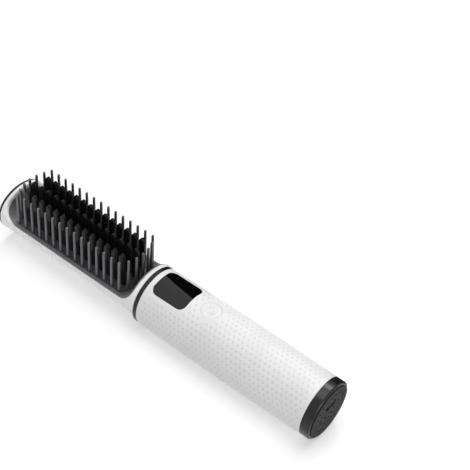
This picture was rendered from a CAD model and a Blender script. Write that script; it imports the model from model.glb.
"""Cordless hot comb: its dimpled handle sleeve, the finish of every piece, and a plain studio."""

from math import cos, hypot, pi, radians, sin, sqrt

import bmesh
import bpy
from mathutils import Matrix, Vector


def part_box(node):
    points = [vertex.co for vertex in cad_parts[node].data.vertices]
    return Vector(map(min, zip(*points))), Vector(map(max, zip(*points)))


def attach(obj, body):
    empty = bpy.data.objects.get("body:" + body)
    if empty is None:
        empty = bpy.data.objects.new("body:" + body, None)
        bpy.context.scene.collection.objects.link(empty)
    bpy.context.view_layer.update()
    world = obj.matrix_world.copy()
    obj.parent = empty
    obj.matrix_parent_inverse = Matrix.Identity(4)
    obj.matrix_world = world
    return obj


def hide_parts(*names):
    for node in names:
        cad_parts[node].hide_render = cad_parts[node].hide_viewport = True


bl_info = {
    "name": "Hot comb",
    "version": (1, 0, 0),
    "blender": (4, 5, 0),
    "location": "3D View > Sidebar > Hot comb",
    "description": "Models the dimpled sleeve of a cordless hot comb and finishes all its pieces",
    "category": "Object",
}

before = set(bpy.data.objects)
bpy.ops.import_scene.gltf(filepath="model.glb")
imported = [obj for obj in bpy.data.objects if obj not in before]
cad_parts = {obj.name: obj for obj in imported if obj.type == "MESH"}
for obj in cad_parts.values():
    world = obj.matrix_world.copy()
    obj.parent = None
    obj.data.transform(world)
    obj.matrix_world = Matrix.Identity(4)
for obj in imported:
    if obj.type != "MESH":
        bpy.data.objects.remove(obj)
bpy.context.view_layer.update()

MM = 0.001
MIX_A, MIX_B, MIX_RESULT = 6, 7, 2  # colour sockets of a Mix node


def linear(code):
    """The linear colour of an sRGB hex value."""
    channels = [int(code[k:k + 2], 16) / 255 for k in (1, 3, 5)]
    return [c / 12.92 if c <= 0.04045 else ((c + 0.055) / 1.055) ** 2.4 for c in channels] + [1.0]


# ---- sizes and colours that a user would change ----
def length_setting(name, description, millimetres):
    """A length in the settings, given in millimetres."""
    return bpy.props.FloatProperty(name=name, description=description, default=millimetres * MM,
                                   min=0.0, precision=5, subtype="DISTANCE", unit="LENGTH")


def colour_setting(name, description, code):
    """A colour in the settings, given as sRGB hex."""
    return bpy.props.FloatVectorProperty(name=name, description=description, default=linear(code),
                                         size=4, min=0.0, max=1.0, subtype="COLOR")


class HotCombSettings(bpy.types.PropertyGroup):
    """Sizes of the grip pattern and colours of the finishes."""

    sleeve_wall: length_setting("Sleeve wall", "Thickness of the handle sleeve", 2.0)
    sleeve_edge: length_setting("Sleeve edge round", "Radius on the sleeve's outer end edges", 0.2)
    dimple_pitch: length_setting("Dimple pitch", "Step of the dimples along the handle", 3.17)
    dimple_width: length_setting("Dimple width", "Diameter of one dimple", 1.6)
    dimple_depth: length_setting("Dimple depth", "Depth of one dimple", 0.1)
    dimple_rows: bpy.props.IntProperty(name="Dimple rows", default=38, min=12, step=2,
                                       description="Rows round the handle, an even number")
    plain_end: length_setting("Plain end band", "Width without dimples at each end", 2.6)
    plain_window: length_setting("Plain window border", "Border without dimples round the window", 2.3)
    plain_button: length_setting("Plain button border", "Border without dimples round the button", 3.0)
    white: colour_setting("White plastic", "Handle sleeve and button", "#f2f2f2")
    white_shade: colour_setting("White plastic, shade", "Darker places of the white plastic", "#eaeaea")
    shell: colour_setting("Head shell", "White shell of the head", "#fbfbfb")
    shell_shade: colour_setting("Head shell, shade", "Darker places of the head shell", "#f5f5f5")
    black: colour_setting("Black trim", "Rings and caps", "#101011")
    black_shade: colour_setting("Black trim, shade", "Darker places of the black trim", "#0d0d0e")
    plate: colour_setting("End plate", "Vented plate at the butt", "#1e1e20")
    bezel: colour_setting("Comb bezel", "Band round the comb bed", "#77777b")
    bezel_shade: colour_setting("Comb bezel, shade", "Darker places of the bezel", "#6f6f73")
    pins: colour_setting("Pins", "Comb bed and its pins", "#434346")
    teeth: colour_setting("Teeth", "Coating of the heated teeth", "#1b1b1e")
    glass: colour_setting("Window", "Smoked window over the display", "#060607")


# ---- nodes ----
def add(tree, kind, inputs=(), **settings):
    """Adds a node with its settings, and gives its sockets their constants or links."""
    node = tree.nodes.new("ShaderNode" + kind)
    for name, value in settings.items():
        setattr(node, name, value)
    for socket, value in dict(inputs).items():
        if isinstance(value, bpy.types.NodeSocket):
            tree.links.new(value, node.inputs[socket])
        else:
            node.inputs[socket].default_value = value
    return node


def new_material(name, constants):
    """A material, its tree, its shader's sockets and its object coordinates."""
    material = bpy.data.materials.new(name)
    material.use_nodes = True
    tree = material.node_tree
    sockets = tree.nodes["Principled BSDF"].inputs
    for socket, value in constants.items():
        sockets[socket].default_value = value
    place = add(tree, "TexCoord").outputs["Object"]
    return material, tree, sockets, place


def dress(tree, sockets, colour, gloss, relief=None):
    """Links a shader to the nodes that give its colour, its gloss and its relief."""
    tree.links.new(colour.outputs[MIX_RESULT], sockets["Base Color"])
    tree.links.new(gloss.outputs[0], sockets["Roughness"])
    if relief:
        tree.links.new(relief.outputs[0], sockets["Normal"])


def paint(material, *nodes):
    """Gives CAD nodes a finish."""
    for name in nodes:
        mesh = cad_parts[name].data
        mesh.materials.clear()
        mesh.materials.append(material)


# ---- finishes ----
def moulded_plastic(name, colour, shade, roughness, grain, depth, ior=1.53, shine=0.5):
    """Injection-moulded plastic: an even colour with faint flow mottling, a spark-eroded grain that
    softens the highlights, and gloss that varies a little from place to place. The real grain, of
    about 0.1 mm, is too fine to show, so it is drawn a few times coarser."""
    material, tree, sockets, place = new_material(name, {"IOR": ior, "Specular IOR Level": shine})
    flow = add(tree, "TexNoise", {"Vector": place, "Scale": 1 / (22 * MM), "Detail": 3.0})
    tone = add(tree, "MapRange", {"Value": flow.outputs["Fac"], "From Min": 0.3, "From Max": 0.7})
    mix = add(tree, "Mix", {"Factor": tone.outputs[0], MIX_A: colour, MIX_B: shade}, data_type="RGBA")
    gloss = add(tree, "MapRange", {"Value": flow.outputs["Fac"], "To Min": roughness - 0.04,
                                   "To Max": roughness + 0.04})
    fine = add(tree, "TexNoise", {"Vector": place, "Scale": 1 / grain, "Detail": 4.0, "Roughness": 0.6})
    bump = add(tree, "Bump", {"Height": fine.outputs["Fac"], "Strength": 1.0, "Distance": depth})
    dress(tree, sockets, mix, gloss, bump)
    return material


def sleeve_plastic(settings):
    """Satin white ABS, moulded with a fine grain: dull soft highlights, and dimples that look a
    little darker at the bottom, where the tool was left rougher and handling dulls them."""
    material = moulded_plastic("sleeve_abs", settings.white, settings.white_shade, roughness=0.42,
                               grain=0.35 * MM, depth=0.006 * MM)
    tree = material.node_tree
    base = tree.nodes["Principled BSDF"].inputs["Base Color"]
    hollow = add(tree, "Attribute", attribute_name="dimple", attribute_type="GEOMETRY")
    mix = add(tree, "Mix", {"Factor": hollow.outputs["Fac"], MIX_A: base.links[0].from_socket,
                            MIX_B: linear("#dedede")}, data_type="RGBA")
    tree.links.new(mix.outputs[MIX_RESULT], base)
    return material


def smoked_acrylic(settings):
    """Smoked PMMA, polished: all but black, with mirror-like reflections and faint wiping marks."""
    material, tree, sockets, place = new_material("smoked_acrylic", {"IOR": 1.49})
    smear = add(tree, "TexNoise", {"Vector": place, "Scale": 1 / (7 * MM), "Detail": 5.0,
                                   "Distortion": 1.5})
    gloss = add(tree, "MapRange", {"Value": smear.outputs["Fac"], "From Min": 0.45, "From Max": 0.75,
                                   "To Min": 0.03, "To Max": 0.09})
    tint = add(tree, "Mix", {"Factor": smear.outputs["Fac"], MIX_A: settings.glass,
                             MIX_B: linear("#0a0a0c")}, data_type="RGBA")
    dress(tree, sockets, tint, gloss)
    return material


def baked_coating(name, colour):
    """Aluminium with a baked non-stick ceramic coating: deep black, a soft sheen, a fine orange peel
    from spraying and sparse mineral specks. The coat rounds the edges, which catch a thin line of
    light."""
    material, tree, sockets, place = new_material(name, {"IOR": 1.45, "Specular IOR Level": 0.12})
    edge = add(tree, "Bevel", {"Radius": 0.3 * MM}, samples=6)
    peel = add(tree, "TexNoise", {"Vector": place, "Scale": 1 / (0.5 * MM), "Detail": 2.0})
    specks = add(tree, "TexVoronoi", {"Vector": place, "Scale": 1 / (0.45 * MM)})
    fleck = add(tree, "MapRange", {"Value": specks.outputs["Distance"], "From Min": 0.05, "From Max": 0.12,
                                   "To Min": 0.35, "To Max": 0.0})
    mix = add(tree, "Mix", {"Factor": fleck.outputs[0], MIX_A: colour, MIX_B: linear("#3c3c40")},
              data_type="RGBA")
    gloss = add(tree, "MapRange", {"Value": peel.outputs["Fac"], "To Min": 0.13, "To Max": 0.2})
    bump = add(tree, "Bump", {"Height": peel.outputs["Fac"], "Strength": 1.0, "Distance": 0.005 * MM,
                              "Normal": edge.outputs[0]})
    dress(tree, sockets, mix, gloss, bump)
    return material


ALONG_X = (0.08, 1.0, 1.0)  # stretch of the lines on a piece rolled or drawn along X
EVEN = (1.0, 1.0, 1.0)


def bare_metal(name, colour, shade, roughness, stretch):
    """Metal sheet or bar as rolled, drawn or plated: a full metallic reflection, broken by fine lines
    along the working direction, or by an even mottle where the stretch is the same each way. The real
    lines, of under 0.1 mm, are too fine to show, so they are drawn 0.3 mm wide."""
    material, tree, sockets, place = new_material(name, {"Metallic": 1.0})
    lines = add(tree, "Mapping", {"Vector": place, "Scale": stretch})
    grain = add(tree, "TexNoise", {"Vector": lines.outputs[0], "Scale": 1 / (0.3 * MM), "Detail": 3.0})
    mix = add(tree, "Mix", {"Factor": grain.outputs["Fac"], MIX_A: colour, MIX_B: shade}, data_type="RGBA")
    gloss = add(tree, "MapRange", {"Value": grain.outputs["Fac"], "From Min": 0.25, "From Max": 0.75,
                                   "To Min": roughness - 0.08, "To Max": roughness + 0.08})
    bump = add(tree, "Bump", {"Height": grain.outputs["Fac"], "Strength": 0.6, "Distance": 0.008 * MM})
    dress(tree, sockets, mix, gloss, bump)
    return material


WAVE_TURN = 20  # radians that a wave texture turns in one unit


def printed_alumina():
    """Alumina heater strip: ivory ceramic, matt and slightly speckled, with the dark resistor track
    showing through as close lines across it."""
    material, tree, sockets, place = new_material("printed_alumina", {"IOR": 1.76})
    speck = add(tree, "TexNoise", {"Vector": place, "Scale": 1 / (0.8 * MM), "Detail": 4.0})
    body = add(tree, "Mix", {"Factor": speck.outputs["Fac"], MIX_A: linear("#efe9da"),
                             MIX_B: linear("#dcd3bf")}, data_type="RGBA")
    track = add(tree, "TexWave", {"Vector": place, "Scale": 2 * pi / (WAVE_TURN * 1.6 * MM),
                                  "Distortion": 0.4}, bands_direction="X")
    line = add(tree, "MapRange", {"Value": track.outputs["Fac"], "From Min": 0.72, "From Max": 0.8})
    mix = add(tree, "Mix", {"Factor": line.outputs[0], MIX_A: body.outputs[MIX_RESULT],
                            MIX_B: linear("#8d8272")}, data_type="RGBA")
    gloss = add(tree, "MapRange", {"Value": speck.outputs["Fac"], "To Min": 0.5, "To Max": 0.7})
    bump = add(tree, "Bump", {"Height": speck.outputs["Fac"], "Distance": 0.01 * MM})
    dress(tree, sockets, mix, gloss, bump)
    return material


def pressed_mica():
    """Pressed mica sheet: silvery brown flakes bonded with silicone, each with its own tone and tilt."""
    material, tree, sockets, place = new_material("pressed_mica", {"IOR": 1.58})
    flakes = add(tree, "TexVoronoi", {"Vector": place, "Scale": 1 / (1.4 * MM)})
    tone = add(tree, "SeparateColor", {"Color": flakes.outputs["Color"]})
    mix = add(tree, "Mix", {"Factor": tone.outputs[0], MIX_A: linear("#8a7454"), MIX_B: linear("#b9a583")},
              data_type="RGBA")
    gloss = add(tree, "MapRange", {"Value": tone.outputs[1], "To Min": 0.3, "To Max": 0.6})
    bump = add(tree, "Bump", {"Height": tone.outputs[2], "Distance": 0.03 * MM})
    dress(tree, sockets, mix, gloss, bump)
    return material


def silicone_lead(name, colour, shade):
    """Silicone wire insulation: satin, a touch translucent, with the wave of the strands under it."""
    material, tree, sockets, place = new_material(name, {"IOR": 1.41, "Subsurface Weight": 0.1,
                                                         "Subsurface Scale": 0.3 * MM})
    wave = add(tree, "TexNoise", {"Vector": place, "Scale": 1 / (1.5 * MM), "Detail": 2.0})
    mix = add(tree, "Mix", {"Factor": wave.outputs["Fac"], MIX_A: colour, MIX_B: shade}, data_type="RGBA")
    gloss = add(tree, "MapRange", {"Value": wave.outputs["Fac"], "To Min": 0.35, "To Max": 0.55})
    bump = add(tree, "Bump", {"Height": wave.outputs["Fac"], "Distance": 0.04 * MM})
    dress(tree, sockets, mix, gloss, bump)
    return material


TRACKS_PER_CELL = 9.0  # tracks in the 4.2 mm of a cell, which is a pitch of 0.47 mm
COPPER_EDGE = 0.52  # share of a track's pitch that is bare board


def solder_mask():
    """FR-4 board under green solder mask: glossy green, lighter over the copper tracks, which run in
    slanting squares and stand up a little."""
    material, tree, sockets, place = new_material("solder_mask", {"IOR": 1.54})
    cells = add(tree, "TexVoronoi", {"Vector": place, "Scale": 1 / (4.2 * MM), "Randomness": 0.75},
                feature="F1", distance="MANHATTAN")
    rings = add(tree, "Math", {0: cells.outputs["Distance"], 1: TRACKS_PER_CELL}, operation="MULTIPLY")
    steps = add(tree, "Math", {0: rings.outputs[0]}, operation="FRACT")
    copper = add(tree, "MapRange", {"Value": steps.outputs[0], "From Min": COPPER_EDGE,
                                    "From Max": COPPER_EDGE + 0.08})
    mix = add(tree, "Mix", {"Factor": copper.outputs[0], MIX_A: linear("#0f4a2a"),
                            MIX_B: linear("#1f7443")}, data_type="RGBA")
    weave = add(tree, "TexNoise", {"Vector": place, "Scale": 1 / (0.5 * MM), "Detail": 2.0})
    gloss = add(tree, "MapRange", {"Value": weave.outputs["Fac"], "To Min": 0.2, "To Max": 0.4})
    bump = add(tree, "Bump", {"Height": copper.outputs[0], "Distance": 0.035 * MM})
    dress(tree, sockets, mix, gloss, bump)
    return material


WRAP_RIM = 2.0 * MM  # that the film reaches in over each end of the cell


def cell_wrap():
    """Steel-cased cell in a heat-shrunk PVC sleeve: a glossy film with slight shrink ripples, and bare
    nickel-plated steel inside its rims at both ends."""
    low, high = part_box("battery_cell")
    centre = (low + high) / 2
    radius = (high.y - low.y) / 2
    material, tree, sockets, place = new_material("shrink_wrap", {"IOR": 1.52})
    off_axis = add(tree, "VectorMath", {0: place, 1: (centre.x, centre.y, centre.z)}, operation="SUBTRACT")
    across = add(tree, "VectorMath", {0: off_axis.outputs[0], 1: (0.0, 1.0, 1.0)}, operation="MULTIPLY")
    distance = add(tree, "VectorMath", {0: across.outputs[0]}, operation="LENGTH")
    film = add(tree, "MapRange", {"Value": distance.outputs["Value"], "From Min": radius - WRAP_RIM,
                                  "From Max": radius - WRAP_RIM + 0.1 * MM})
    ripple = add(tree, "TexNoise", {"Vector": place, "Scale": 1 / (6 * MM), "Detail": 3.0})
    blue = add(tree, "Mix", {"Factor": ripple.outputs["Fac"], MIX_A: linear("#2f6f9f"),
                             MIX_B: linear("#255d89")}, data_type="RGBA")
    mix = add(tree, "Mix", {"Factor": film.outputs[0], MIX_A: linear("#b9b7b0"),
                            MIX_B: blue.outputs[MIX_RESULT]}, data_type="RGBA")
    metal = add(tree, "Math", {0: 1.0, 1: film.outputs[0]}, operation="SUBTRACT")
    gloss = add(tree, "MapRange", {"Value": ripple.outputs["Fac"], "To Min": 0.22, "To Max": 0.38})
    bump = add(tree, "Bump", {"Height": ripple.outputs["Fac"], "Distance": 0.1 * MM})
    tree.links.new(metal.outputs[0], sockets["Metallic"])
    dress(tree, sockets, mix, gloss, bump)
    return material


SWITCH_COVER = 0.5 * MM  # height of the steel cover on the switch


def switch_body():
    """Tact switch: a pressed stainless cover over a black glass-filled nylon base. The grain of both
    is too fine to show, so it is drawn 0.4 mm coarse."""
    low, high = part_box("tact_switch")
    cover_line = high.z - SWITCH_COVER
    material, tree, sockets, place = new_material("switch_body", {})
    grain = add(tree, "TexNoise", {"Vector": place, "Scale": 1 / (0.4 * MM), "Detail": 3.0})
    height = add(tree, "SeparateXYZ", {"Vector": place})
    cover = add(tree, "MapRange", {"Value": height.outputs["Z"], "From Min": cover_line,
                                   "From Max": cover_line + 0.02 * MM})
    steel = add(tree, "Mix", {"Factor": grain.outputs["Fac"], MIX_A: linear("#c9c9c6"),
                              MIX_B: linear("#adada9")}, data_type="RGBA")
    mix = add(tree, "Mix", {"Factor": cover.outputs[0], MIX_A: linear("#1c1c1e"),
                            MIX_B: steel.outputs[MIX_RESULT]}, data_type="RGBA")
    gloss = add(tree, "MapRange", {"Value": grain.outputs["Fac"], "To Min": 0.25, "To Max": 0.5})
    bump = add(tree, "Bump", {"Height": grain.outputs["Fac"], "Distance": 0.008 * MM})
    tree.links.new(cover.outputs[0], sockets["Metallic"])
    dress(tree, sockets, mix, gloss, bump)
    return material


def bead_glass():
    """Glass-sealed thermistor bead: clear brown glass with a bright rim and a darker chip inside."""
    low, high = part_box("thermistor")
    centre = (low + high) / 2
    material, tree, sockets, place = new_material("bead_glass", {"IOR": 1.52, "Coat Weight": 0.5})
    from_chip = add(tree, "VectorMath", {0: place, 1: (centre.x, centre.y, centre.z)}, operation="DISTANCE")
    chip = add(tree, "MapRange", {"Value": from_chip.outputs["Value"], "From Min": 0.9 * MM,
                                  "From Max": 1.5 * MM})
    swirl = add(tree, "TexNoise", {"Vector": place, "Scale": 1 / (1.0 * MM), "Detail": 2.0})
    mix = add(tree, "Mix", {"Factor": chip.outputs[0], MIX_A: linear("#3b1d12"), MIX_B: linear("#b5693a")},
              data_type="RGBA")
    gloss = add(tree, "MapRange", {"Value": swirl.outputs["Fac"], "To Min": 0.05, "To Max": 0.15})
    dress(tree, sockets, mix, gloss)
    return material


# ---- mesh helpers ----
SHARP_ANGLE = radians(35)  # edges sharper than this stay crisp
MERGE_DISTANCE = 0.01 * MM  # points closer than this become one
CUT_TOLERANCE = 0.0001 * MM


def make_object(name, bm):
    """A new object from a bmesh, which is freed."""
    mesh = bpy.data.meshes.new(name)
    bm.to_mesh(mesh)
    bm.free()
    thing = bpy.data.objects.new(name, mesh)
    bpy.context.scene.collection.objects.link(thing)
    return thing


def finish_piece(piece, material, body, slot_name, *nodes):
    """Shades a piece, gives it its finish, and ties it to its body and the nodes it stands for."""
    piece.data.materials.clear()
    piece.data.materials.append(material)
    piece.data.shade_smooth()
    piece.data.set_sharp_from_angle(angle=SHARP_ANGLE)
    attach(piece, body)
    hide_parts(*nodes)


def carve(body, cutters):
    """Cuts other objects out of a body, and removes them."""
    for cutter in cutters:
        cut = body.modifiers.new("cut", "BOOLEAN")
        cut.operation = "DIFFERENCE"
        cut.solver = "EXACT"
        cut.object = cutter
    depsgraph = bpy.context.evaluated_depsgraph_get()
    mesh = bpy.data.meshes.new_from_object(body.evaluated_get(depsgraph), depsgraph=depsgraph)
    body.modifiers.clear()
    body.data = mesh
    for cutter in cutters:
        bpy.data.objects.remove(cutter)


# ---- handle sleeve ----
class Handle:
    """Where things are on the handle, read from the frame once."""

    def __init__(self):
        low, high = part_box("handle_sleeve")
        self.start = low.x
        self.end = high.x
        self.middle_radius = high.y
        self.end_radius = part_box("end_cap")[1].y
        self.axis = high.z - high.y
        half = (self.end - self.start) / 2
        bulge = self.middle_radius - self.end_radius
        self.sweep_radius = (half ** 2 + bulge ** 2) / (2 * bulge)
        low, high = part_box("display_window")
        self.window_centre = (low.x + high.x) / 2
        self.window_half_length = (high.x - low.x) / 2
        self.window_half_width = high.y
        low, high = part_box("power_button")
        self.button_centre = (low.x + high.x) / 2
        self.button_radius = (high.x - low.x) / 2 - BUTTON_FLANGE

    def radius(self, x):
        """Radius of the skin at a station."""
        past = x - (self.start + self.end) / 2
        return self.middle_radius - self.sweep_radius + sqrt(self.sweep_radius ** 2 - past ** 2)

    def wrap(self, x, angle, height):
        """Point over the skin, by its angle from the top."""
        reach = self.radius(x) + height
        return Vector((x, reach * sin(angle), self.axis + reach * cos(angle)))


FIRST_ROW = radians(0.85)  # the first row of dimples, from the top of the handle
WINDOW_CORNER = 4.0 * MM  # radius of the window's corners, seen from above
WINDOW_GAP = 0.15 * MM  # between the window and its seat
WINDOW_LEDGE = 1.3 * MM  # that carries the window's edge
WINDOW_DEPTH = 1.18 * MM  # of the seat under the skin
BUTTON_FLANGE = 0.7 * MM  # that the button's hidden flange stands out all round
BUTTON_GAP = 0.15 * MM  # between the button and its hole
FLAT_HALF_WIDTH = 5.4 * MM  # of the flat under the handle, with a plain border


def outside_window(handle, point, border):
    """True where a point is clear of the window, seen from above, by a border."""
    along = abs(point.x - handle.window_centre) - handle.window_half_length + WINDOW_CORNER
    across = abs(point.y) - handle.window_half_width + WINDOW_CORNER
    return hypot(max(along, 0.0), max(across, 0.0)) > WINDOW_CORNER + border


def has_dimple(handle, settings, x, angle):
    """True where the lattice has a dimple, and not in a plain zone."""
    if x < handle.start + settings.plain_end or x > handle.end - settings.plain_end:
        return False
    point = handle.wrap(x, angle, 0.0)
    if point.z < handle.axis:
        return abs(point.y) > FLAT_HALF_WIDTH
    from_button = hypot(point.x - handle.button_centre, point.y)
    clear_of_button = from_button > handle.button_radius + settings.plain_button
    return clear_of_button and outside_window(handle, point, settings.plain_window)


CELL_SEGMENTS = (4, 2)  # along the handle and round it
DIMPLE_SIDES = 12
DIMPLE_RINGS = ((1.0, 0.0), (0.84, 0.45), (0.45, 0.95))  # shares of radius and depth, from the rim in
SPARE_CELLS = 3  # cells in a row that reach past the sleeve's ends, where they are cut off


def plain_cell(length, width):
    """Flat piece of skin, one lattice step long and one row wide."""
    bm = bmesh.new()
    bmesh.ops.create_grid(bm, x_segments=CELL_SEGMENTS[0], y_segments=CELL_SEGMENTS[1], size=0.5)
    bmesh.ops.scale(bm, vec=(length, width, 1.0), verts=bm.verts)
    return bm


def dimpled_cell(length, width, radius, depth):
    """The same piece of skin with a round dimple in it."""
    bm = plain_cell(length, width)
    inner = [vertex for vertex in bm.verts if not vertex.is_boundary]
    bmesh.ops.delete(bm, geom=list(bm.faces), context="FACES_ONLY")
    bmesh.ops.delete(bm, geom=inner, context="VERTS")
    loop = list(bm.edges)
    for share, drop in DIMPLE_RINGS:
        last = share == DIMPLE_RINGS[-1][0]
        ring = bmesh.ops.create_circle(bm, segments=DIMPLE_SIDES, radius=radius * share, cap_ends=last,
                                       cap_tris=last)
        bmesh.ops.translate(bm, vec=(0.0, 0.0, -drop * depth), verts=ring["verts"])
        # all points of the ring but the middle one of its cap
        rim = {vertex for vertex in ring["verts"] if vertex.co.xy.length > 0.5 * radius * share}
        ring_edges = [edge for edge in bm.edges if set(edge.verts) <= rim]
        bmesh.ops.bridge_loops(bm, edges=loop + ring_edges)
        loop = ring_edges
    return bm


def mark_hollows(bm, depth):
    """Writes how deep each point lies in its dimple, from 0 at the skin to 1 at the bottom."""
    layer = bm.verts.layers.float.new("dimple")
    for vertex in bm.verts:
        vertex[layer] = min(1.0, max(0.0, -vertex.co.z / depth))


def cell_meshes(settings, step, width):
    """The plain cell and the dimpled one, by whether there is a dimple."""
    meshes = {}
    dimple = dimpled_cell(step, width, settings.dimple_width / 2, settings.dimple_depth)
    for dimpled, cell in ((False, plain_cell(step, width)), (True, dimple)):
        mark_hollows(cell, settings.dimple_depth)
        meshes[dimpled] = bpy.data.meshes.new("cell")
        cell.to_mesh(meshes[dimpled])
        cell.free()
    return meshes


def lay_row(sheet, handle, settings, meshes, row, width):
    """Adds one row of cells to the sheet; every second row is half a step on."""
    step = settings.dimple_pitch
    angle = FIRST_ROW - 2 * pi * row / settings.dimple_rows
    strip = bmesh.new()
    for k in range(int((handle.end - handle.start) / step) + SPARE_CELLS):
        x = handle.end - step * (k - 0.5 * (row % 2))
        done = len(strip.verts)
        strip.from_mesh(meshes[has_dimple(handle, settings, x, angle)])
        strip.verts.ensure_lookup_table()
        bmesh.ops.translate(strip, vec=(x, -width * row, 0.0), verts=strip.verts[done:])
    mesh = bpy.data.meshes.new("row")
    strip.to_mesh(mesh)
    strip.free()
    sheet.from_mesh(mesh)
    bpy.data.meshes.remove(mesh)


def lay_lattice(handle, settings):
    """Flat sheet of cells that goes once round the handle, one row after the other."""
    width = 2 * pi * handle.end_radius / settings.dimple_rows
    meshes = cell_meshes(settings, settings.dimple_pitch, width)
    sheet = bmesh.new()
    for row in range(settings.dimple_rows):
        lay_row(sheet, handle, settings, meshes, row, width)
    for mesh in meshes.values():
        bpy.data.meshes.remove(mesh)
    return sheet


def end_ring(bm, x):
    """Open edges of a shell at a station."""
    return [edge for edge in bm.edges
            if edge.is_boundary and all(abs(vertex.co.x - x) < MERGE_DISTANCE for vertex in edge.verts)]


EDGE_TURNS = (radians(30), radians(60), radians(90))  # stations round the end's edge


def turn_end_in(bm, handle, settings, x, way):
    """Rounds the sleeve's end edge and closes its end face down to the bore."""
    edge = settings.sleeve_edge
    bore = handle.end_radius - settings.sleeve_wall
    radius = handle.radius(x + way * edge)
    corner = [(edge * (1 - sin(turn)), radius - edge * (1 - cos(turn))) for turn in EDGE_TURNS]
    ring = end_ring(bm, x + way * edge)
    place = edge
    for inward, reach in corner + [(0.0, bore)]:
        made = bmesh.ops.extrude_edge_only(bm, edges=ring)["geom"]
        verts = [item for item in made if isinstance(item, bmesh.types.BMVert)]
        ring = [item for item in made if isinstance(item, bmesh.types.BMEdge)]
        bmesh.ops.scale(bm, vec=(1.0, reach / radius, reach / radius), verts=verts,
                        space=Matrix.Translation((0.0, 0.0, -handle.axis)))
        bmesh.ops.translate(bm, vec=(way * (inward - place), 0.0, 0.0), verts=verts)
        radius = reach
        place = inward
    return ring


def sleeve_shell(handle, settings):
    """The whole sleeve before its openings are cut."""
    bm = lay_lattice(handle, settings)
    edge = settings.sleeve_edge
    for x, way in ((handle.start + edge, -1), (handle.end - edge, 1)):
        bmesh.ops.bisect_plane(bm, geom=list(bm.verts) + list(bm.edges) + list(bm.faces),
                               dist=CUT_TOLERANCE, plane_co=(x, 0, 0), plane_no=(way, 0, 0),
                               clear_outer=True)
    for vertex in bm.verts:
        angle = FIRST_ROW + vertex.co.y / handle.end_radius
        vertex.co = handle.wrap(vertex.co.x, angle, vertex.co.z)
    bmesh.ops.remove_doubles(bm, verts=bm.verts, dist=MERGE_DISTANCE)
    cut = bmesh.ops.bisect_plane(bm, geom=list(bm.verts) + list(bm.edges) + list(bm.faces),
                                 dist=CUT_TOLERANCE, plane_co=(0, 0, 0), plane_no=(0, 0, -1),
                                 clear_outer=True)
    belly = [item for item in cut["geom_cut"] if isinstance(item, bmesh.types.BMEdge)]
    bmesh.ops.edgeloop_fill(bm, edges=belly)
    front = turn_end_in(bm, handle, settings, handle.start, 1)
    rear = turn_end_in(bm, handle, settings, handle.end, -1)
    bmesh.ops.bridge_loops(bm, edges=front + rear)
    bmesh.ops.recalc_face_normals(bm, faces=bm.faces)
    return make_object("dimpled_sleeve", bm)


POST_SIDES = 96
POST_CORNER_SEGMENTS = 12
BARREL_SIDES = 180
BARREL_STATIONS = 24  # steps along the barrel


def round_post(name, handle, x, radius):
    """Cutter for a round hole, from the handle's axis up."""
    height = 2 * handle.middle_radius
    bm = bmesh.new()
    bmesh.ops.create_cone(bm, cap_ends=True, segments=POST_SIDES, radius1=radius, radius2=radius,
                          depth=height)
    bmesh.ops.translate(bm, vec=(x, 0.0, handle.axis + height / 2), verts=bm.verts)
    return make_object(name, bm)


def window_post(name, handle, grow):
    """Cutter with the outline of the window, grown by a margin, from the handle's axis up."""
    length = 2 * (handle.window_half_length + grow)
    width = 2 * (handle.window_half_width + grow)
    bm = bmesh.new()
    bmesh.ops.create_grid(bm, x_segments=1, y_segments=1, size=0.5)
    bmesh.ops.scale(bm, vec=(length, width, 1.0), verts=bm.verts)
    bmesh.ops.bevel(bm, geom=list(bm.verts), offset=WINDOW_CORNER + grow, offset_type="OFFSET",
                    segments=POST_CORNER_SEGMENTS, profile=0.5, affect="VERTICES", material=-1)
    bmesh.ops.translate(bm, vec=(handle.window_centre, 0.0, handle.axis), verts=bm.verts)
    top = bmesh.ops.extrude_face_region(bm, geom=list(bm.faces))["geom"]
    raised = [item for item in top if isinstance(item, bmesh.types.BMVert)]
    bmesh.ops.translate(bm, vec=(0.0, 0.0, 2 * handle.middle_radius), verts=raised)
    bmesh.ops.recalc_face_normals(bm, faces=bm.faces)
    return make_object(name, bm)


def inner_barrel(handle, inset):
    """Solid barrel under the skin, which bounds how deep the window's seat goes."""
    bm = bmesh.new()
    outline = [bm.verts.new((handle.start, 0.0, 0.0))]
    for k in range(BARREL_STATIONS + 1):
        x = handle.start + (handle.end - handle.start) * k / BARREL_STATIONS
        outline.append(bm.verts.new((x, 0.0, handle.radius(x) - inset)))
    outline.append(bm.verts.new((handle.end, 0.0, 0.0)))
    edges = [bm.edges.new(pair) for pair in zip(outline, outline[1:])]
    bmesh.ops.spin(bm, geom=outline + edges, cent=(0, 0, 0), axis=(1, 0, 0), angle=2 * pi,
                   steps=BARREL_SIDES, use_merge=True)
    bmesh.ops.remove_doubles(bm, verts=bm.verts, dist=MERGE_DISTANCE)
    bmesh.ops.translate(bm, vec=(0.0, 0.0, handle.axis), verts=bm.verts)
    bmesh.ops.recalc_face_normals(bm, faces=bm.faces)
    return make_object("inner_barrel", bm)


def cut_openings(sleeve, handle):
    """Seats the window and opens the holes for the display and the button."""
    seat = window_post("window_seat", handle, WINDOW_GAP)
    carve(seat, [inner_barrel(handle, WINDOW_DEPTH)])
    opening = window_post("window_opening", handle, -WINDOW_LEDGE)
    hole = round_post("button_hole", handle, handle.button_centre, handle.button_radius + BUTTON_GAP)
    carve(sleeve, [seat, opening, hole])


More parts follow.
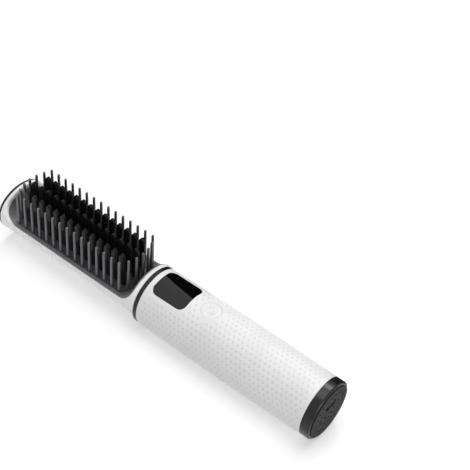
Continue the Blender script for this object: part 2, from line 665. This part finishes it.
class HOTCOMB_OT_sleeve(bpy.types.Operator):
    """Model the dimpled handle sleeve"""

    bl_idname = "hot_comb.sleeve"
    bl_label = "Dimpled sleeve"

    def execute(self, context):
        settings = context.scene.hot_comb
        handle = Handle()
        sleeve = sleeve_shell(handle, settings)
        cut_openings(sleeve, handle)
        finish_piece(sleeve, sleeve_plastic(settings), "comb", "sleeve_white", "handle_sleeve")
        return {"FINISHED"}


class HOTCOMB_OT_shell(bpy.types.Operator):
    """Finish the white shell of the head"""

    bl_idname = "hot_comb.shell"
    bl_label = "Head shell"

    def execute(self, context):
        settings = context.scene.hot_comb
        plastic = moulded_plastic("shell_abs", settings.shell, settings.shell_shade, roughness=0.3,
                                  grain=0.6 * MM, depth=0.003 * MM)
        paint(plastic, "head_frame", "head_back_cover")
        return {"FINISHED"}


class HOTCOMB_OT_trim(bpy.types.Operator):
    """Finish the black rings, caps and end plate"""

    bl_idname = "hot_comb.trim"
    bl_label = "Black trim"

    def execute(self, context):
        settings = context.scene.hot_comb
        satin = moulded_plastic("trim_abs", settings.black, settings.black_shade, roughness=0.25,
                                grain=0.3 * MM, depth=0.005 * MM, shine=0.3)
        paint(satin, "neck_ring", "tip_cap", "end_cap")
        matt = moulded_plastic("plate_abs", settings.plate, linear("#1a1a1c"), roughness=0.6,
                               grain=0.25 * MM, depth=0.012 * MM, shine=0.12)
        paint(matt, "end_plate")
        return {"FINISHED"}


class HOTCOMB_OT_comb(bpy.types.Operator):
    """Finish the bezel, the bed with its pins, and the heated teeth"""

    bl_idname = "hot_comb.comb"
    bl_label = "Comb"

    def execute(self, context):
        settings = context.scene.hot_comb
        paint(moulded_plastic("bezel_pbt", settings.bezel, settings.bezel_shade, roughness=0.38,
                              grain=0.3 * MM, depth=0.008 * MM), "comb_bezel")
        paint(moulded_plastic("pin_nylon", settings.pins, linear("#3d3d40"), roughness=0.3,
                              grain=0.25 * MM, depth=0.004 * MM, ior=1.6, shine=0.8), "pin_comb")
        paint(baked_coating("tooth_coating", settings.teeth),
              "comb_strip_left", "comb_strip_centre", "comb_strip_right")
        return {"FINISHED"}


class HOTCOMB_OT_heater(bpy.types.Operator):
    """Finish the heating plate, the heater and what clamps and guards it"""

    bl_idname = "hot_comb.heater"
    bl_label = "Heater stack"

    def execute(self, context):
        paint(bare_metal("extruded_aluminium", linear("#d3d5d6"), linear("#b9bbbd"), roughness=0.34,
                         stretch=ALONG_X), "heating_plate")
        paint(printed_alumina(), "heater_strip")
        paint(pressed_mica(), "insulation_pad")
        paint(bare_metal("galvanised_steel", linear("#c4c6c6"), linear("#a5a8aa"), roughness=0.4,
                         stretch=EVEN), "heater_clamp")
        paint(bare_metal("tinned_brass", linear("#cfc9b8"), linear("#b8b09a"), roughness=0.3,
                         stretch=EVEN), "thermal_fuse")
        paint(bead_glass(), "thermistor")
        return {"FINISHED"}


class HOTCOMB_OT_wiring(bpy.types.Operator):
    """Finish the leads"""

    bl_idname = "hot_comb.wiring"
    bl_label = "Leads"

    def execute(self, context):
        paint(silicone_lead("white_silicone", linear("#e9e6df"), linear("#dbd7ce")), "heater_leads")
        paint(silicone_lead("red_silicone", linear("#b3261e"), linear("#98201a")),
              "sensor_leads", "battery_leads")
        return {"FINISHED"}


class HOTCOMB_OT_display(bpy.types.Operator):
    """Finish the window and the display under it"""

    bl_idname = "hot_comb.display"
    bl_label = "Display"

    def execute(self, context):
        settings = context.scene.hot_comb
        paint(smoked_acrylic(settings), "display_window")
        paint(moulded_plastic("display_epoxy", linear("#1d1d20"), linear("#232327"), roughness=0.5,
                              grain=0.5 * MM, depth=0.01 * MM), "display_module")
        return {"FINISHED"}


class HOTCOMB_OT_button(bpy.types.Operator):
    """Finish the power button and the switch that it works"""

    bl_idname = "hot_comb.button"
    bl_label = "Power button"

    def execute(self, context):
        settings = context.scene.hot_comb
        paint(moulded_plastic("button_abs", settings.white, settings.white_shade, roughness=0.36,
                              grain=0.35 * MM, depth=0.004 * MM), "power_button")
        paint(moulded_plastic("plunger_acetal", linear("#1a1a1b"), linear("#222224"), roughness=0.35,
                              grain=0.4 * MM, depth=0.004 * MM), "switch_plunger")
        paint(switch_body(), "tact_switch")
        return {"FINISHED"}


class HOTCOMB_OT_electronics(bpy.types.Operator):
    """Finish the boards, the tray, the cell, the socket and the screws"""

    bl_idname = "hot_comb.electronics"
    bl_label = "Electronics"

    def execute(self, context):
        paint(solder_mask(), "main_board", "charge_board")
        paint(moulded_plastic("tray_nylon", linear("#77797c"), linear("#6c6e71"), roughness=0.55,
                              grain=0.4 * MM, depth=0.02 * MM), "chassis")
        paint(cell_wrap(), "battery_cell")
        paint(bare_metal("nickel_strip", linear("#c9c5bb"), linear("#b1ada3"), roughness=0.3,
                         stretch=ALONG_X), "battery_tabs")
        paint(bare_metal("drawn_steel", linear("#cfd0d0"), linear("#b6b8b9"), roughness=0.26,
                         stretch=EVEN), "usb_socket")
        paint(bare_metal("plated_screw", linear("#b4b2ac"), linear("#96948e"), roughness=0.3,
                         stretch=EVEN), "clamp_screws", "board_screws", "charge_screws")
        return {"FINISHED"}


# ---- studio ----
CAMERA_PLACE = (0.287006, -0.352742, 0.546965)  # in metres, like the floor's, lamps' and cards'
CAMERA_AZIMUTH = radians(34.413)
CAMERA_ELEVATION = radians(45.861)
CAMERA_ROLL = radians(5.739)
FOCAL_LENGTH = 1186.3  # in pixels of a square picture
PICTURE_SIDE = 470
SENSOR = 36.0  # its width in millimetres
CLIP_START = 0.01
FLOOR_SIDE = 6.0
FLOOR_WHITE = 0.82
FLOOR_MOTTLE = 0.003  # that the paper's white varies either way
FLOOR_LIFT = 0.37  # added to what the lamps give the floor near the comb
FLOOR_LIFT_FAR = 0.85  # where the lamps no longer reach
FLOOR_NEAR = 0.4  # distance from the middle of the comb at which the lift starts to rise
FLOOR_FAR = 1.6  # and at which it is full
AMBIENT = 0.3  # strength of the surroundings as a light

# name, place, width, height and share of the plain light level
LAMPS = (
    ("overhead", (0.0, 0.13, 1.49), 1.1, 0.9, 0.353),
    ("back_strip", (-0.165, 0.93, 1.155), 0.66, 0.45, 0.288),
    ("left_fill", (-1.0, -0.7, 0.75), 0.5, 0.9, 0.115),
    ("front_fill", (1.4, -0.3, 0.45), 0.6, 0.6, 0.29),
)

# name, colour, place along Y and outline in x and z of each upright card that only mirrors see
CARDS = (
    ("window_card", "#08080a", 0.06, ((0.003, 0.0), (0.003, 0.2), (-0.0223, 0.2), (-0.0293, 0.138),
                                      (-0.0356, 0.0822), (-0.0448, 0.0))),
    ("cap_card", "#5c5c60", 0.04, ((0.1, 0.0), (0.1, 0.05), (0.129, 0.05), (0.129, 0.0))),
)


def add_camera(scene):
    """Long lens, looking down on the comb from its butt end."""
    level_reach = cos(CAMERA_ELEVATION)
    forward = Vector((-sin(CAMERA_AZIMUTH) * level_reach, cos(CAMERA_AZIMUTH) * level_reach,
                      -sin(CAMERA_ELEVATION)))
    level = Vector((cos(CAMERA_AZIMUTH), sin(CAMERA_AZIMUTH), 0.0))
    upright = level.cross(forward)
    right = cos(CAMERA_ROLL) * level + sin(CAMERA_ROLL) * upright
    up = cos(CAMERA_ROLL) * upright - sin(CAMERA_ROLL) * level
    data = bpy.data.cameras.new("camera")
    data.sensor_width = SENSOR
    data.lens = FOCAL_LENGTH / PICTURE_SIDE * SENSOR
    data.clip_start = CLIP_START
    camera = bpy.data.objects.new("camera", data)
    turn = Matrix((right, up, -forward)).transposed().to_4x4()
    camera.matrix_world = Matrix.Translation(CAMERA_PLACE) @ turn
    scene.collection.objects.link(camera)
    scene.camera = camera


def add_lamp(scene, name, place, width, height, share):
    """Soft area lamp that looks at the comb. Its power grows with the square of its distance, so that
    a surface that faces it gets its share of the plain light level."""
    way = Vector(place)
    data = bpy.data.lights.new(name, "AREA")
    data.shape = "RECTANGLE"
    data.size = width
    data.size_y = height
    data.energy = share * (pi * way.length) ** 2
    lamp = bpy.data.objects.new(name, data)
    lamp.location = way
    lamp.rotation_euler = way.to_track_quat("Z", "Y").to_euler()
    scene.collection.objects.link(lamp)


def seen_directly(tree):
    """1 for what the camera, a mirror or clear glass sees, and 0 for the light that falls on things."""
    path = add(tree, "LightPath")
    mirror = add(tree, "Math", {0: path.outputs["Is Glossy Ray"], 1: path.outputs["Is Transmission Ray"]},
                 operation="MAXIMUM")
    seen = add(tree, "Math", {0: path.outputs["Is Camera Ray"], 1: mirror.outputs[0]}, operation="MAXIMUM")
    return seen.outputs[0]


def add_world(scene):
    """White surroundings, which give less light than they show."""
    world = bpy.data.worlds.new("studio")
    world.use_nodes = True
    tree = world.node_tree
    strength = add(tree, "MapRange", {"Value": seen_directly(tree), "To Min": AMBIENT, "To Max": 1.0})
    background = tree.nodes["Background"]
    background.inputs["Color"].default_value = (1.0, 1.0, 1.0, 1.0)
    tree.links.new(strength.outputs[0], background.inputs["Strength"])
    scene.world = world


def floor_material():
    """Matt white paper, lifted to full white where it is seen, so that it keeps only the shadow."""
    material = bpy.data.materials.new("floor_paper")
    material.use_nodes = True
    tree = material.node_tree
    tree.nodes.remove(tree.nodes["Principled BSDF"])
    place = add(tree, "TexCoord").outputs["Object"]
    fibre = add(tree, "TexNoise", {"Vector": place, "Scale": 1 / (2 * MM), "Detail": 3.0})
    tone = add(tree, "MapRange", {"Value": fibre.outputs["Fac"], "To Min": FLOOR_WHITE - FLOOR_MOTTLE,
                                  "To Max": FLOOR_WHITE + FLOOR_MOTTLE})
    paper = add(tree, "BsdfDiffuse", {"Color": tone.outputs[0]})
    distance = add(tree, "VectorMath", {0: place}, operation="LENGTH")
    level = add(tree, "MapRange", {"Value": distance.outputs["Value"], "From Min": FLOOR_NEAR,
                                   "From Max": FLOOR_FAR, "To Min": FLOOR_LIFT, "To Max": FLOOR_LIFT_FAR})
    lift = add(tree, "Math", {0: seen_directly(tree), 1: level.outputs[0]}, operation="MULTIPLY")
    glow = add(tree, "Emission", {"Strength": lift.outputs[0]})
    both = add(tree, "AddShader", {0: paper.outputs[0], 1: glow.outputs[0]})
    tree.links.new(both.outputs[0], tree.nodes["Material Output"].inputs["Surface"])
    return material


def add_floor():
    """The surface that the comb lies on."""
    bm = bmesh.new()
    bmesh.ops.create_grid(bm, x_segments=1, y_segments=1, size=FLOOR_SIDE / 2)
    floor = make_object("floor", bm)
    floor.data.materials.append(floor_material())


def card_material(name, code):
    """Velvet card, which has no gloss of its own."""
    material = bpy.data.materials.new(name)
    material.use_nodes = True
    sockets = material.node_tree.nodes["Principled BSDF"].inputs
    sockets["Base Color"].default_value = linear(code)
    sockets["Specular IOR Level"].default_value = 0.0
    return material


def add_card(name, code, plane, outline):
    """Card behind the comb that only mirrors see: it darkens what the far part of a gloss piece shows."""
    bm = bmesh.new()
    corners = [bm.verts.new((x, plane, z)) for x, z in outline]
    edges = [bm.edges.new(pair) for pair in zip(corners, corners[1:] + corners[:1])]
    bmesh.ops.edgeloop_fill(bm, edges=edges)
    card = make_object(name, bm)
    card.data.materials.append(card_material(name, code))
    card.visible_camera = False
    card.visible_diffuse = False
    card.visible_shadow = False
    card.visible_transmission = False


class HOTCOMB_OT_stage(bpy.types.Operator):
    """Set up the floor, the surroundings, the lamps and the camera"""

    bl_idname = "hot_comb.stage"
    bl_label = "Studio"

    def execute(self, context):
        scene = context.scene
        scene.view_settings.view_transform = "Standard"
        add_floor()
        for card in CARDS:
            add_card(*card)
        add_world(scene)
        for lamp in LAMPS:
            add_lamp(scene, *lamp)
        add_camera(scene)
        return {"FINISHED"}


class HOTCOMB_PT_panel(bpy.types.Panel):
    """Buttons for every step, and the settings"""

    bl_idname = "HOTCOMB_PT_panel"
    bl_label = "Hot comb"
    bl_space_type = "VIEW_3D"
    bl_region_type = "UI"
    bl_category = "Hot comb"

    def draw(self, context):
        for operator in OPERATORS:
            self.layout.operator(operator.bl_idname)
        for name in HotCombSettings.__annotations__:
            self.layout.prop(context.scene.hot_comb, name)


OPERATORS = (
    HOTCOMB_OT_sleeve,
    HOTCOMB_OT_shell,
    HOTCOMB_OT_trim,
    HOTCOMB_OT_comb,
    HOTCOMB_OT_heater,
    HOTCOMB_OT_wiring,
    HOTCOMB_OT_display,
    HOTCOMB_OT_button,
    HOTCOMB_OT_electronics,
    HOTCOMB_OT_stage,
)


def register():
    for item in (HotCombSettings, *OPERATORS, HOTCOMB_PT_panel):
        bpy.utils.register_class(item)
    bpy.types.Scene.hot_comb = bpy.props.PointerProperty(type=HotCombSettings)


def unregister():
    del bpy.types.Scene.hot_comb
    for item in (HOTCOMB_PT_panel, *reversed(OPERATORS), HotCombSettings):
        bpy.utils.unregister_class(item)


def main():
    """Makes everything in order."""
    register()
    bpy.ops.hot_comb.sleeve()
    bpy.ops.hot_comb.shell()
    bpy.ops.hot_comb.trim()
    bpy.ops.hot_comb.comb()
    bpy.ops.hot_comb.heater()
    bpy.ops.hot_comb.wiring()
    bpy.ops.hot_comb.display()
    bpy.ops.hot_comb.button()
    bpy.ops.hot_comb.electronics()
    bpy.ops.hot_comb.stage()
    bpy.context.view_layer.update()


if __name__ == "__main__":
    main()
